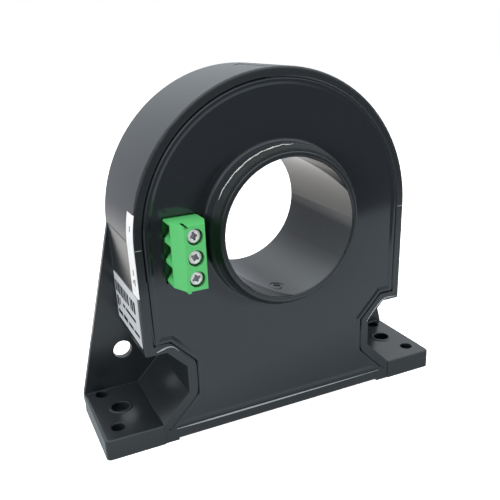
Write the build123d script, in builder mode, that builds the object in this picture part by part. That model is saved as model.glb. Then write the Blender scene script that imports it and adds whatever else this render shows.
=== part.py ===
from build123d import *
import os
from math import cos, radians, sin

# Hall effect current sensor with a through aperture, standing on two feet.
# A moulded housing holds a gapped ring core with its winding, a Hall element in
# the core's gap and a circuit board. A glued front cover closes it, and a three
# way screw terminal stands on the board and comes out through the cover.
# Lengths are millimetres. X is to the right, Y to the back and Z up. The origin
# is midway between the two large foot holes, on the plane that the feet rest on.

os.makedirs("parts", exist_ok=True)

# Base and feet
base_width = 100.0
base_depth = 27.0
base_front = -14.2
foot_thickness = 5.5
base_corner_radius = 1.2
foot_edge_radius = 0.5
relief_half_width = 31.0
relief_depth = 0.6

# Body outline, seen from the front
axis_height = 53.9
barrel_radius = 38.3
side_taper = 0.5
side_bottom = 25.6
notch_run = 5.4
neck_half_width = 27.4
neck_top = 20.4
neck_bottom = 12.9
body_setback = 0.25
front_edge_radius = 0.6
seam_width = 0.2
seam_depth = 0.12

# Rear flange, which joins the barrel to the ends of the base
flange_thickness = 2.0
flange_edge_width = 0.3

# Walls, and the seat of the front cover
wall = 3.1
back_wall = 2.4
rim_width = 2.2
sill_height = 3.5

# Aperture tube, moulded with the housing
bore_radius = 17.65
tube_wall = 1.4
tube_stand_out = 6.1
tube_edge_radius = 0.35

# Front cover
cover_thickness = 2.3
cover_clearance = 0.2
bead_width = 1.9
bead_height = 0.2
bead_slope = 0.8
bead_edge_width = 0.45
bead_edge_depth = 0.4
collar_wall = 1.45
collar_stand_out = 3.7
collar_clearance = 0.08
collar_edge_radius = 0.25
collar_foot_radius = 0.8
sealant_width = 0.9
sealant_height = 0.7

# Foot holes and rear holes, which keep their distances from the ends of the base
small_hole_radius = 1.8
small_hole_end_distance = 4.5
small_hole_half_pitch_y = 8.9
large_hole_radius = 2.4
large_hole_end_distance = 7.5
hole_ring_width = 0.6
hole_ring_height = 0.2
rear_hole_radius = 2.6
rear_hole_end_distance = 12.0
rear_hole_height = 16.7

# Direction arrow, sunk into the top of the barrel
arrow_length = 18.0
arrow_width = 4.2
arrow_line = 0.6
arrow_depth = 0.7
arrow_setback = 2.6

# Side label and sealing sticker, on the left wall
label_thickness = 0.12
label_front_gap = 1.8
label_width = 22.8
label_bottom = 27.3
label_top = 40.6
sticker_thickness = 0.15
sticker_front_gap = 0.35
sticker_width = 4.4
sticker_bottom = 41.0
sticker_top = 61.6

# Terminal block
terminal_ways = 3
terminal_pitch = 5.08
terminal_centre_height = 51.9
terminal_end_wall = 0.15
terminal_left = -30.6
terminal_width = 8.3
terminal_stand_out = 8.8
terminal_face_width = 4.95
terminal_face_left = 1.9
terminal_bevel_height = 4.3
terminal_shoulder = 4.0
terminal_gap = 0.45
dovetail_neck = 0.6
dovetail_width = 0.9
dovetail_height = 0.45
dovetail_length = 3.4
dovetail_clearance = 0.05
screw_inset = 4.4
screw_recess = 0.8
screw_head_radius = 1.5
screw_head_height = 1.4
screw_shank_radius = 1.2
screw_cross_length = 2.2
screw_cross_width = 0.55
screw_cross_depth = 0.6
well_clearance = 0.45
thread_clearance = 0.07
cage_width = 3.6
cage_height = 4.6
cage_plate = 0.8
cage_side = 0.5
cage_travel = 1.8
cage_end_gap = 0.2
cage_clearance = 0.2
tongue_thickness = 0.6
tongue_width = 2.2
tongue_gap = 0.3
tip_clearance = 0.05
head_gap = 0.1
tail_width = 1.0
tail_length = 3.0
wire_way_height = 2.1
wire_way_width = 2.6
wire_mouth_width = 4.3
wire_mouth_depth = 1.6
wire_mouth_ramp = 1.5
wire_mouth_edge = 0.25
wire_mouth_foot = 1.2

# Circuit board
board_thickness = 1.6
board_front_gap = 0.5
board_edge_gap = 0.5
board_top = 66.0
board_hole_gap = 0.9
post_radius = 1.6
low_post_half_pitch = 22.0
low_post_height = 8.0
side_post_angles = (-17.0, 14.0)
side_post_inset = 1.5
lead_hole_clearance = 0.1

# Ring core, its two part former and the winding
winding_front_gap = 1.9
winding_seat = 1.1
winding_thickness = 1.3
former_wall = 0.9
core_clearance = 0.1
winding_clearance = 0.05
winding_corner = 0.7
winding_tube_gap = 1.8
winding_wall_gap = 3.25
core_gap = 2.4
winding_gap_angle = 18.0
seat_rib_count = 6
seat_rib_start = 30.0
seat_rib_width = 1.8

# Hall element
hall_thickness = 1.5
hall_width = 4.2
hall_length = 3.0
hall_lead_pitch = 1.27
hall_lead_side = 0.4

# Components behind the board
capacitor_radius = 3.15
capacitor_length = 11.0
capacitor_groove_height = 1.9
capacitor_place = (4.2, 10.5)
capacitor_lead_pitch = 2.5
transistor_size = (8.0, 11.0, 3.2)
transistor_place = (14.5, 9.0)
transistor_stand_off = 1.5
transistor_hole_share = 0.65
transistor_lead_pitch = 2.29
amplifier_size = (9.8, 3.3, 6.4)
amplifier_place = (0.0, 18.0)
amplifier_stand_off = 0.5
amplifier_pin_pitch = 2.54
amplifier_row_pitch = 7.62
resistor_radius = 1.15
resistor_length = 6.3
resistor_place = (12.5, 18.0)
diode_radius = 1.35
diode_length = 5.0
diode_place = (12.5, 14.1)
axial_lead_pitch = 10.0
axial_stand_off = 0.3
lead_radius = 0.3
winding_lead_radius = 0.4
winding_lead_half_pitch = 6.5

# The side walls lean in below the barrel, and the neck flares out at 45 degrees
side_half_width = barrel_radius - side_taper
flare_half_width = neck_half_width + neck_bottom - foot_thickness

# Places of the holes, measured from the middle
small_hole_half_pitch_x = base_width / 2 - small_hole_end_distance
large_hole_half_pitch = base_width / 2 - large_hole_end_distance
rear_hole_half_pitch = base_width / 2 - rear_hole_end_distance

# Planes along Y that the pieces share
base_back = base_front + base_depth
base_middle = (base_front + base_back) / 2
body_front = base_front + body_setback
body_back = base_back
cover_front = body_front
cover_back = cover_front + cover_thickness
cavity_back = body_back - back_wall
tube_front = body_front - tube_stand_out
tube_radius = bore_radius + tube_wall
collar_front = cover_front - collar_stand_out
collar_bore = tube_radius + collar_clearance
collar_radius = collar_bore + collar_wall
board_front = cover_back + board_front_gap
board_back = board_front + board_thickness
winding_front = board_back + winding_front_gap
winding_back = cavity_back - winding_seat
former_front = winding_front + winding_thickness + winding_clearance
former_back = winding_back - winding_thickness - winding_clearance
core_front = former_front + former_wall + core_clearance
core_back = former_back - former_wall - core_clearance
core_middle = (core_front + core_back) / 2
winding_inner = tube_radius + winding_tube_gap
winding_outer = barrel_radius - wall - winding_wall_gap
former_inner = winding_inner + winding_thickness + winding_clearance
former_outer = winding_outer - winding_thickness - winding_clearance
core_inner_radius = former_inner + former_wall + core_clearance
core_outer_radius = former_outer - former_wall - core_clearance
gap_height = axis_height - (core_inner_radius + core_outer_radius) / 2

# Places in the terminal block
terminal_front = cover_front - terminal_stand_out
terminal_right = terminal_left + terminal_width
terminal_length = terminal_ways * terminal_pitch + 2 * terminal_end_wall
terminal_bottom = terminal_centre_height - terminal_length / 2
screw_x = terminal_left + screw_inset
head_front = terminal_front + screw_recess
head_back = head_front + screw_head_height
cell_front = head_back + head_gap
cage_front = cell_front + cage_travel + cage_end_gap
cage_back = cage_front + cage_height
tongue_front = cage_front + cage_plate + tongue_gap
tongue_back = tongue_front + tongue_thickness
cell_left = screw_x - cage_width / 2 - cage_clearance
strip_left = screw_x + cage_width / 2 + cage_clearance
cell_right = strip_left + tongue_thickness + cage_clearance / 2
cell_width = cage_width + cage_clearance
well_radius = screw_head_radius + well_clearance
mouth_end = terminal_left + wire_mouth_depth
mouth_front = terminal_front + terminal_bevel_height + wire_mouth_edge
mouth_length = board_front - wire_mouth_foot - mouth_front
way_heights = [
    terminal_centre_height + terminal_pitch * (0.5 * (terminal_ways - 1) - way)
    for way in range(terminal_ways)
]


def across(y):
    """The upright plane at a depth y, drawn on as seen from the front."""
    return Plane.XZ.offset(-y)


def outline(bottom, inset=0.0):
    """Face of the body's outline down to a height, taken in by inset all round."""
    with BuildSketch() as face:
        with BuildLine():
            Polyline(
                (0, bottom),
                (neck_half_width + neck_bottom - bottom, bottom),
                (neck_half_width, neck_bottom),
                (neck_half_width, neck_top),
                (side_half_width - notch_run, side_bottom),
                (side_half_width, side_bottom),
                (barrel_radius, axis_height),
            )
            CenterArc((0, axis_height), barrel_radius, 0, 90)
            mirror(about=Plane.YZ)
        make_face()
        if inset:
            offset(amount=-inset, kind=Kind.INTERSECTION)
    return face.sketch


def finish(piece, name):
    """Label a finished piece and write its file."""
    piece.part.label = name
    export_step(piece.part, f"parts/{name}.step")


def body_form(grow=0.0):
    """Outer form of the body with its rounded front edge, grown by a skin."""
    with BuildPart() as form:
        with BuildSketch(across(body_back)):
            add(outline(0, -grow))
        extrude(amount=body_back - body_front + grow)
        rim = form.faces().sort_by(Axis.Y)[0].edges()
        upper = rim.filter_by(lambda edge: edge.center().Z > (side_bottom + axis_height) / 2)
        fillet(upper, front_edge_radius + grow)
    return form.part


# Base plate with rounded corners and top edges, which becomes part of the housing
with BuildPart() as base_plate:
    with BuildSketch(Plane.XY):
        with Locations((0, base_middle)):
            RectangleRounded(base_width, base_depth, base_corner_radius)
    extrude(amount=foot_thickness)
    fillet(base_plate.faces().sort_by(Axis.Z)[-1].edges(), foot_edge_radius)
    with Locations((0, base_front, foot_thickness / 2)):
        Box(2 * flare_half_width, 2 * body_setback, foot_thickness, mode=Mode.SUBTRACT)


# Housing: barrel, neck, base, rear flange and aperture tube in one moulding
with BuildPart() as housing:
    add(body_form())
    add(base_plate.part)
    with BuildSketch(across(body_back)):
        with BuildLine():
            Polyline(
                (-base_width / 2, foot_thickness / 2),
                (base_width / 2, foot_thickness / 2),
                (base_width / 2, foot_thickness),
                (barrel_radius, axis_height),
                (-barrel_radius, axis_height),
                (-base_width / 2, foot_thickness),
                close=True,
            )
        make_face()
    extrude(amount=flange_thickness)
    back_edges = housing.edges().filter_by_position(Axis.Y, body_back, body_back)
    upright = back_edges.filter_by(lambda edge: foot_thickness < edge.center().Z < axis_height)
    chamfer(upright, flange_edge_width)

    with BuildSketch(across(cover_back)):
        add(outline(sill_height - rim_width, rim_width))
    extrude(amount=base_depth, mode=Mode.SUBTRACT)
    with BuildSketch(across(cavity_back)):
        add(outline(sill_height - rim_width, wall))
    extrude(amount=cavity_back - cover_back, mode=Mode.SUBTRACT)

    with BuildSketch(across(body_back)):
        with Locations((0, axis_height)):
            Circle(tube_radius)
    extrude(amount=body_back - tube_front)
    with BuildSketch(across(body_back)):
        with Locations((0, axis_height)):
            Circle(bore_radius)
    extrude(amount=body_back - tube_front, mode=Mode.SUBTRACT)
    tube_end = housing.faces().sort_by(Axis.Y)[0]
    fillet(tube_end.edges(), tube_edge_radius)

    with BuildSketch(Plane.XY):
        with Locations((0, base_middle)):
            Rectangle(2 * relief_half_width, base_depth)
    extrude(amount=relief_depth, mode=Mode.SUBTRACT)

    with BuildSketch(Plane.XY.offset(foot_thickness)):
        with Locations((-large_hole_half_pitch, 0), (large_hole_half_pitch, 0)):
            Circle(large_hole_radius + hole_ring_width)
    extrude(amount=hole_ring_height)
    with BuildSketch(Plane.XY):
        with GridLocations(2 * small_hole_half_pitch_x, 2 * small_hole_half_pitch_y, 2, 2):
            Circle(small_hole_radius)
        with GridLocations(2 * large_hole_half_pitch, 0, 2, 1):
            Circle(large_hole_radius)
    extrude(amount=foot_thickness + hole_ring_height, mode=Mode.SUBTRACT)
    with BuildSketch(across(body_back)):
        with Locations((0, rear_hole_height)):
            with GridLocations(2 * rear_hole_half_pitch, 0, 2, 1):
                Circle(rear_hole_radius)
    extrude(amount=flange_thickness, mode=Mode.SUBTRACT)

    with BuildSketch(across(cavity_back)):
        with Locations((0, axis_height)):
            with PolarLocations((winding_inner + winding_outer) / 2, seat_rib_count, seat_rib_start):
                Rectangle(winding_outer - winding_inner, seat_rib_width)
    extrude(amount=winding_seat)
    with BuildSketch(across(cavity_back)):
        with GridLocations(2 * low_post_half_pitch, 0, 2, 1):
            with Locations((0, low_post_height)):
                Circle(post_radius)
        post_orbit = barrel_radius - wall - side_post_inset
        for angle in side_post_angles:
            for side in (-1, 1):
                post_x = side * post_orbit * cos(radians(angle))
                post_z = axis_height + post_orbit * sin(radians(angle))
                with Locations((post_x, post_z)):
                    Circle(post_radius)
    extrude(amount=cavity_back - board_back)

    arrow_front = body_front + arrow_setback
    arrow_neck = arrow_front + arrow_length - arrow_width
    with BuildSketch(Plane.XY.offset(axis_height + barrel_radius - arrow_depth)):
        with BuildLine():
            Polyline(
                (-arrow_width / 2, arrow_front),
                (arrow_width / 2, arrow_front),
                (arrow_width / 2, arrow_neck),
                (arrow_width, arrow_neck),
                (0, arrow_neck + arrow_width),
                (-arrow_width, arrow_neck),
                (-arrow_width / 2, arrow_neck),
                close=True,
            )
        make_face()
        offset(amount=-arrow_line, kind=Kind.INTERSECTION, mode=Mode.SUBTRACT)
    extrude(amount=2 * arrow_depth, mode=Mode.SUBTRACT)

    seam_length = body_back - flange_thickness - body_front
    with Locations((0, body_front + seam_length / 2, axis_height)):
        with GridLocations(2 * barrel_radius, 0, 2, 1):
            Box(2 * seam_depth, seam_length, seam_width, mode=Mode.SUBTRACT)
finish(housing, "housing")


# Front cover: set flush into the rim, with a raised bead all round its edge and a
# collar round the tube
with BuildPart() as front_cover:
    with BuildSketch(across(cover_back)):
        add(outline(sill_height - rim_width, rim_width + cover_clearance))
    extrude(amount=cover_thickness - bead_edge_depth)
    for depth, inset in ((bead_edge_depth, 0), (-bead_height, bead_edge_width)):
        with BuildSketch(across(cover_front + depth)):
            add(outline(sill_height - rim_width, rim_width + cover_clearance + inset))
    loft(ruled=True)
    for depth, inset in ((0, bead_width), (-bead_height, bead_width - bead_slope)):
        with BuildSketch(across(cover_front + depth)):
            add(outline(sill_height - rim_width, rim_width + cover_clearance + inset))
    loft(ruled=True, mode=Mode.SUBTRACT)
    with BuildSketch(across(cover_back)):
        with Locations((0, axis_height)):
            Circle(collar_radius)
    extrude(amount=cover_back - collar_front)
    collar_end = front_cover.faces().sort_by(Axis.Y)[0]
    fillet(collar_end.edges(), collar_edge_radius)
    front_circles = front_cover.edges().filter_by(GeomType.CIRCLE)
    front_circles = front_circles.filter_by_position(Axis.Y, cover_front, cover_front)
    fillet(front_circles.sort_by(SortBy.RADIUS)[0], collar_foot_radius)
    with BuildSketch(across(cover_back)):
        with Locations((0, axis_height)):
            Circle(collar_bore)
    extrude(amount=cover_back - collar_front, mode=Mode.SUBTRACT)
    with BuildSketch(across(cover_back)):
        with Locations(((terminal_left + terminal_right) / 2, terminal_centre_height)):
            Rectangle(terminal_width + 2 * terminal_gap, terminal_length + 2 * terminal_gap)
    extrude(amount=cover_thickness, mode=Mode.SUBTRACT)
finish(front_cover, "front_cover")


# Bead of sealant in the step between the cover's collar and the tube
with BuildPart() as sealant_bead:
    with BuildSketch(Plane.YZ):
        with BuildLine():
            Polyline(
                (collar_front, axis_height + tube_radius),
                (collar_front, axis_height + tube_radius + sealant_width),
                (collar_front - sealant_height, axis_height + tube_radius),
                close=True,
            )
        make_face()
    revolve(axis=Axis((0, 0, axis_height), (0, 1, 0)))
finish(sealant_bead, "sealant_bead")


def wall_skin(thickness, front_gap, width, bottom, top):
    """Thin skin on the left wall that follows its curve and its front edge."""
    with BuildPart() as skin:
        add(body_form(thickness))
        add(body_form(), mode=Mode.SUBTRACT)
        middle = body_front + front_gap + width / 2
        with Locations((-barrel_radius, middle, (bottom + top) / 2)):
            Box(barrel_radius, width, top - bottom, mode=Mode.INTERSECT)
    return skin


# Silvered label and white sealing strip, stuck on the left wall
side_label = wall_skin(label_thickness, label_front_gap, label_width, label_bottom, label_top)
finish(side_label, "side_label")
seal_sticker = wall_skin(sticker_thickness, sticker_front_gap, sticker_width,
                         sticker_bottom, sticker_top)
finish(seal_sticker, "seal_sticker")


def dovetail(height, grow):
    """Section of the dovetail that joins blocks end to end, hanging from a height."""
    with BuildSketch() as section:
        with BuildLine():
            Polyline(
                (-dovetail_neck / 2 - grow, 0),
                (dovetail_neck / 2 + grow, 0),
                (dovetail_width / 2 + grow, -dovetail_height - grow),
                (-dovetail_width / 2 - grow, -dovetail_height - grow),
                close=True,
            )
        make_face()
    place = (terminal_left + terminal_face_left + dovetail_width / 2, height)
    return section.sketch.moved(Location(place))


# Terminal body: one moulding with a cell, a screw well and a wire way for each way
with BuildPart() as terminal_body:
    with BuildSketch(Plane.XY.offset(terminal_bottom)):
        with BuildLine():
            Polyline(
                (terminal_left, board_front),
                (terminal_left, terminal_front + terminal_bevel_height),
                (terminal_left + terminal_face_left, terminal_front),
                (terminal_left + terminal_face_left + terminal_face_width, terminal_front),
                (terminal_right, terminal_front + terminal_shoulder),
                (terminal_right, board_front),
                close=True,
            )
        make_face()
    extrude(amount=terminal_length)
    for height in way_heights:
        with BuildSketch(Plane.XY.offset(height - cell_width / 2)):
            with Locations(((cell_left + cell_right) / 2, (cell_front + board_front) / 2)):
                Rectangle(cell_right - cell_left, board_front - cell_front)
        extrude(amount=cell_width, mode=Mode.SUBTRACT)
        with BuildSketch(across(cell_front)):
            with Locations((screw_x, height)):
                Circle(well_radius)
        extrude(amount=cell_front - terminal_front, mode=Mode.SUBTRACT)
        with BuildSketch(across(board_front - wire_mouth_foot)):
            with BuildLine():
                Polyline(
                    (terminal_left, height - wire_mouth_width / 2),
                    (mouth_end, height - wire_mouth_width / 2 + wire_mouth_ramp),
                    (mouth_end, height + wire_mouth_width / 2),
                    (terminal_left, height + wire_mouth_width / 2),
                    close=True,
                )
            make_face()
        extrude(amount=mouth_length, mode=Mode.SUBTRACT)
        with BuildSketch(Plane.YZ.offset(terminal_left)):
            with Locations((tongue_back + wire_way_height / 2, height)):
                Rectangle(wire_way_height, wire_way_width)
        extrude(amount=cell_left - terminal_left, mode=Mode.SUBTRACT)
    with BuildSketch(across(terminal_front + dovetail_length)):
        add(dovetail(terminal_bottom, 0))
    extrude(amount=dovetail_length)
    with BuildSketch(across(terminal_front + dovetail_length)):
        add(dovetail(terminal_bottom + terminal_length, dovetail_clearance))
    extrude(amount=dovetail_length, mode=Mode.SUBTRACT)
finish(terminal_body, "terminal_body")


def clamp_screw(height):
    """Clamping screw: cylindrical head with a cross slot, and a plain shank."""
    with BuildPart() as screw:
        with BuildSketch(across(head_back)):
            with Locations((screw_x, height)):
                Circle(screw_head_radius)
        extrude(amount=screw_head_height)
        with BuildSketch(across(tongue_front - tip_clearance)):
            with Locations((screw_x, height)):
                Circle(screw_shank_radius)
        extrude(amount=tongue_front - tip_clearance - head_back)
        with BuildSketch(across(head_front + screw_cross_depth)):
            with Locations((screw_x, height)):
                Rectangle(screw_cross_length, screw_cross_width)
                Rectangle(screw_cross_width, screw_cross_length)
        extrude(amount=screw_cross_depth, mode=Mode.SUBTRACT)
    return screw


def clamp_cage(height):
    """Clamp cage: a square metal frame, open along X, with the screw's hole."""
    with BuildPart() as cage:
        with BuildSketch(Plane.XY.offset(height - cage_width / 2)):
            with Locations((screw_x, (cage_front + cage_back) / 2)):
                Rectangle(cage_width, cage_height)
        extrude(amount=cage_width)
        with BuildSketch(Plane.YZ.offset(screw_x - cage_width / 2)):
            with Locations(((cage_front + cage_back) / 2, height)):
                Rectangle(cage_height - 2 * cage_plate, cage_width - 2 * cage_side)
        extrude(amount=cage_width, mode=Mode.SUBTRACT)
        with BuildSketch(across(cage_front + cage_plate)):
            with Locations((screw_x, height)):
                Circle(screw_shank_radius + thread_clearance)
        extrude(amount=cage_plate, mode=Mode.SUBTRACT)
    return cage


def contact_pin(height):
    """Contact: a tongue under the screw, bent into a strip that ends in a tail."""
    with BuildPart() as pin:
        with BuildSketch(Plane.XY.offset(height - tongue_width / 2)):
            with BuildLine():
                Polyline(
                    (screw_x - cage_width / 2, tongue_front),
                    (strip_left + tongue_thickness, tongue_front),
                    (strip_left + tongue_thickness, board_front),
                    (strip_left, board_front),
                    (strip_left, tongue_back),
                    (screw_x - cage_width / 2, tongue_back),
                    close=True,
                )
            make_face()
        extrude(amount=tongue_width)
        with BuildSketch(across(board_front + tail_length)):
            with Locations((strip_left + tongue_thickness / 2, height)):
                Rectangle(tongue_thickness, tail_width)
        extrude(amount=tail_length)
    return pin


for number, way_height in enumerate(way_heights, start=1):
    finish(clamp_screw(way_height), f"terminal_screw_{number}")
    finish(clamp_cage(way_height), f"terminal_cage_{number}")
    finish(contact_pin(way_height), f"terminal_pin_{number}")


# Gapped ring core, with the gap at the bottom for the Hall element
with BuildPart() as core_ring:
    with BuildSketch(across(core_back)):
        with Locations((0, axis_height)):
            Circle(core_outer_radius)
            Circle(core_inner_radius, mode=Mode.SUBTRACT)
        with Locations((0, gap_height)):
            Rectangle(core_gap, 2 * (core_outer_radius - core_inner_radius), mode=Mode.SUBTRACT)
    extrude(amount=core_back - core_front)
finish(core_ring, "core_ring")


def former_half(outer_face, parting, sign):
    """One C shaped half of the core's plastic case, open at the core's gap."""
    depth = abs(parting - outer_face)
    with BuildPart() as half:
        with BuildSketch(across(max(outer_face, parting))):
            with Locations((0, axis_height)):
                Circle(former_outer)
                Circle(former_inner, mode=Mode.SUBTRACT)
        extrude(amount=depth)
        with BuildSketch(across(max(outer_face + sign * former_wall, parting))):
            with Locations((0, axis_height)):
                Circle(core_outer_radius + core_clearance)
                Circle(core_inner_radius - core_clearance, mode=Mode.SUBTRACT)
        extrude(amount=depth - former_wall, mode=Mode.SUBTRACT)
        with BuildSketch(across(max(outer_face, parting))):
            with Locations((0, gap_height)):
                Rectangle(core_gap, 2 * (former_outer - former_inner))
        extrude(amount=depth, mode=Mode.SUBTRACT)
    return half


finish(former_half(former_front, core_middle, 1), "former_front")
finish(former_half(former_back, core_middle, -1), "former_back")


# Secondary winding: one closed coil round the former, open at the core's gap
winding_start = radians(270 - winding_gap_angle / 2)
winding_section = Plane(
    origin=(0, 0, axis_height),
    x_dir=(0, 1, 0),
    z_dir=(sin(winding_start), 0, -cos(winding_start)),
)
with BuildPart() as secondary_winding:
    with BuildSketch(winding_section) as coil:
        with Locations(((winding_front + winding_back) / 2, (winding_inner + winding_outer) / 2)):
            Rectangle(winding_back - winding_front, winding_outer - winding_inner)
            chamfer(coil.vertices(), winding_corner)
            Rectangle(
                former_back - former_front + 2 * winding_clearance,
                former_outer - former_inner + 2 * winding_clearance,
                mode=Mode.SUBTRACT,
            )
    revolve(axis=Axis((0, 0, axis_height), (0, 1, 0)), revolution_arc=360 - winding_gap_angle)
finish(secondary_winding, "secondary_winding")


def winding_lead(side):
    """Straight end of the winding that goes into the board."""
    with BuildPart() as lead:
        with BuildSketch(across(winding_front)):
            with Locations((side * winding_lead_half_pitch, gap_height)):
                Circle(winding_lead_radius)
        extrude(amount=winding_front - board_front)
    return lead


# Hall element: a flat package on edge in the core's gap, on long leads
with BuildPart() as hall_element:
    with BuildSketch(across(core_middle + hall_length / 2)):
        with Locations((0, gap_height)):
            Rectangle(hall_thickness, hall_width)
    extrude(amount=hall_length)
    with BuildSketch(across(core_middle)):
        with Locations((0, gap_height)):
            with GridLocations(0, hall_lead_pitch, 1, 4):
                Rectangle(hall_lead_side, hall_lead_side)
    extrude(amount=core_middle - board_front)
finish(hall_element, "hall_element")


def power_transistor(side):
    """Flat package standing off the board on three leads, with its screw hole."""
    width, length, thickness = transistor_size
    place = (side * transistor_place[0], transistor_place[1])
    package_front = board_back + transistor_stand_off
    with BuildPart() as transistor:
        with BuildSketch(across(package_front + length)):
            with Locations(place):
                Rectangle(width, thickness)
        extrude(amount=length)
        with BuildSketch(Plane.XY.offset(place[1] - thickness / 2)):
            with Locations((place[0], package_front + transistor_hole_share * length)):
                Circle(thickness / 2)
        extrude(amount=thickness, mode=Mode.SUBTRACT)
        with BuildSketch(across(package_front)):
            with Locations(place):
                with GridLocations(transistor_lead_pitch, 0, 3, 1):
                    Rectangle(2 * lead_radius, 2 * lead_radius)
        extrude(amount=package_front - board_front)
    return transistor


def electrolytic(side):
    """Can with a rolled groove near its foot and two leads."""
    place = (side * capacitor_place[0], capacitor_place[1])
    with BuildPart() as capacitor:
        with BuildSketch(across(board_back + capacitor_length)):
            with Locations(place):
                Circle(capacitor_radius)
        extrude(amount=capacitor_length)
        chamfer(capacitor.faces().sort_by(Axis.Y)[-1].edges(), lead_radius)
        with BuildSketch(across(board_back + capacitor_groove_height)):
            with Locations(place):
                Circle(capacitor_radius)
                Circle(capacitor_radius - lead_radius, mode=Mode.SUBTRACT)
        extrude(amount=2 * lead_radius, mode=Mode.SUBTRACT)
        with BuildSketch(across(board_back)):
            with Locations(place):
                with GridLocations(capacitor_lead_pitch, 0, 2, 1):
                    Circle(lead_radius)
        extrude(amount=board_thickness)
    return capacitor


def axial_part(radius, length, place):
    """Axial component lying along X, with both leads bent into the board."""
    lying = board_back + axial_stand_off + radius
    with BuildPart() as part:
        with BuildSketch(Plane.YZ.offset(place[0] - length / 2)):
            with Locations((lying, place[1])):
                Circle(radius)
        extrude(amount=length)
        chamfer(part.edges().filter_by(GeomType.CIRCLE), radius / 4)
        with BuildLine() as bend:
            Polyline(
                (place[0] - axial_lead_pitch / 2, board_front, place[1]),
                (place[0] - axial_lead_pitch / 2, lying, place[1]),
                (place[0] + axial_lead_pitch / 2, lying, place[1]),
                (place[0] + axial_lead_pitch / 2, board_front, place[1]),
            )
        with BuildSketch(Plane(origin=bend.line @ 0, z_dir=bend.line % 0)):
            Circle(lead_radius)
        sweep(path=bend.line, transition=Transition.RIGHT)
    return part


for number, side in enumerate((-1, 1), start=1):
    finish(winding_lead(side), f"winding_lead_{number}")
    finish(power_transistor(side), f"power_transistor_{number}")
    finish(electrolytic(side), f"capacitor_{number}")
    resistor = axial_part(resistor_radius, resistor_length,
                          (side * resistor_place[0], resistor_place[1]))
    finish(resistor, f"burden_resistor_{number}")
    diode = axial_part(diode_radius, diode_length, (side * diode_place[0], diode_place[1]))
    finish(diode, f"protection_diode_{number}")


# Amplifier: a dual in line package with eight pins
with BuildPart() as amplifier:
    with BuildSketch(across(board_back + amplifier_stand_off + amplifier_size[1])):
        with Locations(amplifier_place):
            Rectangle(amplifier_size[0], amplifier_size[2])
    extrude(amount=amplifier_size[1])
    pin_reach = (amplifier_row_pitch - amplifier_size[2]) / 2 + lead_radius
    shoulder = board_back + amplifier_stand_off + amplifier_size[1] / 2
    with BuildSketch(across(shoulder + lead_radius)):
        with Locations(amplifier_place):
            with GridLocations(amplifier_pin_pitch, amplifier_size[2] + pin_reach, 4, 2):
                Rectangle(2 * lead_radius, pin_reach)
    extrude(amount=2 * lead_radius)
    with BuildSketch(across(shoulder)):
        with Locations(amplifier_place):
            with GridLocations(amplifier_pin_pitch, amplifier_row_pitch, 4, 2):
                Rectangle(2 * lead_radius, 2 * lead_radius)
    extrude(amount=shoulder - board_front)
finish(amplifier, "amplifier_chip")


# Circuit board: follows the housing's inside, with a hole for every lead
with BuildPart() as circuit_board:
    with BuildSketch(across(board_back)):
        add(outline(sill_height - rim_width, wall + board_edge_gap))
        with Locations((0, axis_height)):
            Circle(tube_radius + board_hole_gap, mode=Mode.SUBTRACT)
        with Locations((0, board_top + barrel_radius)):
            Rectangle(4 * barrel_radius, 2 * barrel_radius, mode=Mode.SUBTRACT)
        lead_hole = lead_radius * 2 ** 0.5 + lead_hole_clearance
        with Locations(*[(side * winding_lead_half_pitch, gap_height) for side in (-1, 1)]):
            Circle(winding_lead_radius + lead_hole_clearance, mode=Mode.SUBTRACT)
        with Locations((0, gap_height)):
            with GridLocations(0, hall_lead_pitch, 1, 4):
                Circle(hall_lead_side * 0.5 ** 0.5 + lead_hole_clearance, mode=Mode.SUBTRACT)
        with Locations(amplifier_place):
            with GridLocations(amplifier_pin_pitch, amplifier_row_pitch, 4, 2):
                Circle(lead_hole, mode=Mode.SUBTRACT)
        for side in (-1, 1):
            with Locations((side * transistor_place[0], transistor_place[1])):
                with GridLocations(transistor_lead_pitch, 0, 3, 1):
                    Circle(lead_hole, mode=Mode.SUBTRACT)
            with Locations((side * capacitor_place[0], capacitor_place[1])):
                with GridLocations(capacitor_lead_pitch, 0, 2, 1):
                    Circle(lead_hole, mode=Mode.SUBTRACT)
            for place in (resistor_place, diode_place):
                with Locations((side * place[0], place[1])):
                    with GridLocations(axial_lead_pitch, 0, 2, 1):
                        Circle(lead_hole, mode=Mode.SUBTRACT)
        for way_height in way_heights:
            with Locations((strip_left + tongue_thickness / 2, way_height)):
                Circle(tail_width / 2 + 2 * lead_hole_clearance, mode=Mode.SUBTRACT)
    extrude(amount=board_thickness)
finish(circuit_board, "circuit_board")
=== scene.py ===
import random
from math import atan2, cos, pi, radians, sin

import bpy
from mathutils import Matrix, Quaternion, Vector


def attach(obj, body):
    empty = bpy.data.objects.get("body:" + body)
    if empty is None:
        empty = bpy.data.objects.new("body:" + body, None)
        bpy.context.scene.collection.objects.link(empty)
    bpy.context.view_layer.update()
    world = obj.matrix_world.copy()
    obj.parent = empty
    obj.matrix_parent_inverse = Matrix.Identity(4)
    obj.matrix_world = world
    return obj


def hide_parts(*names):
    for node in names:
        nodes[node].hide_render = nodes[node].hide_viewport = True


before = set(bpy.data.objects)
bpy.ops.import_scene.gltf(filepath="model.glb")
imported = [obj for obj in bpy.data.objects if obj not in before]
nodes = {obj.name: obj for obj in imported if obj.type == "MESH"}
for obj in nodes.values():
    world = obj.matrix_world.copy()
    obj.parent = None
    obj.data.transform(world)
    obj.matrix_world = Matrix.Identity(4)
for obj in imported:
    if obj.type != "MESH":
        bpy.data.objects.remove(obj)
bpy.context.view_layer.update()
bpy.ops.object.select_all(action="DESELECT")


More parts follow.
